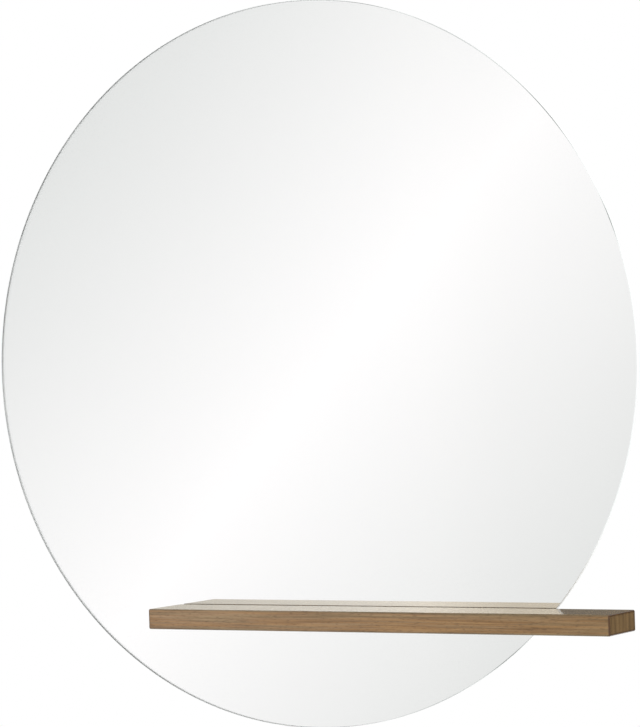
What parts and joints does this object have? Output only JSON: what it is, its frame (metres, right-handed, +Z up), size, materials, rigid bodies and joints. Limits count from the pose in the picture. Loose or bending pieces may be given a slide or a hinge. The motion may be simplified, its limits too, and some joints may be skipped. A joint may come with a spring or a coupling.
{
  "type": "wall mirror with shelf",
  "caption": "Frameless round wall mirror that hangs by a bevelled cleat, with a straight wooden shelf fixed in front of its lower part and standing past its right edge.",
  "frame": {"origin": "on the wall plane, at the middle of the wall cleat's row of screw holes", "axes": "+Y into the wall, so the mirror faces -Y, the room; +Z up; +X to the right as seen from the room"},
  "size_m": [0.9139, 0.1073, 0.914],
  "materials": {
    "glass": "clear float glass, polished faces, ground edge",
    "silver": "silvered, painted grey behind",
    "foam_tape": "white closed-cell foam",
    "fibreboard": "raw medium-density fibreboard",
    "oak": "clear satin lacquer on solid oak",
    "black_rubber": "matt black rubber",
    "brass": "turned brass",
    "steel": "zinc-plated steel",
    "nylon": "natural white nylon",
    "plywood": "raw birch plywood, plies showing on the sawn edges"
  },
  "bodies": {
    "wall": {"wall_cleat": "plywood"},
    "mirror": {"mirror_glass": "glass", "silver_backing": "silver", "bonding_tape_1": "foam_tape", "bonding_tape_2": "foam_tape", "bonding_tape_3": "foam_tape", "bonding_tape_4": "foam_tape", "bonding_tape_5": "foam_tape", "backing_board": "fibreboard", "shelf_board": "oak", "shelf_gasket": "black_rubber", "shelf_inserts": "brass", "shelf_screws": "steel", "shelf_washers": "steel", "glass_sleeves": "nylon", "mirror_cleat": "plywood", "cleat_screws": "steel", "bumper_left": "black_rubber", "bumper_right": "black_rubber", "bumper_screws": "steel"}
  },
  "joints": [
    {"name": "lift_off", "type": "slide", "parent": "wall", "child": "mirror", "axis": [0, 0, 1], "range_m": [0, 0.012]}
  ]
}
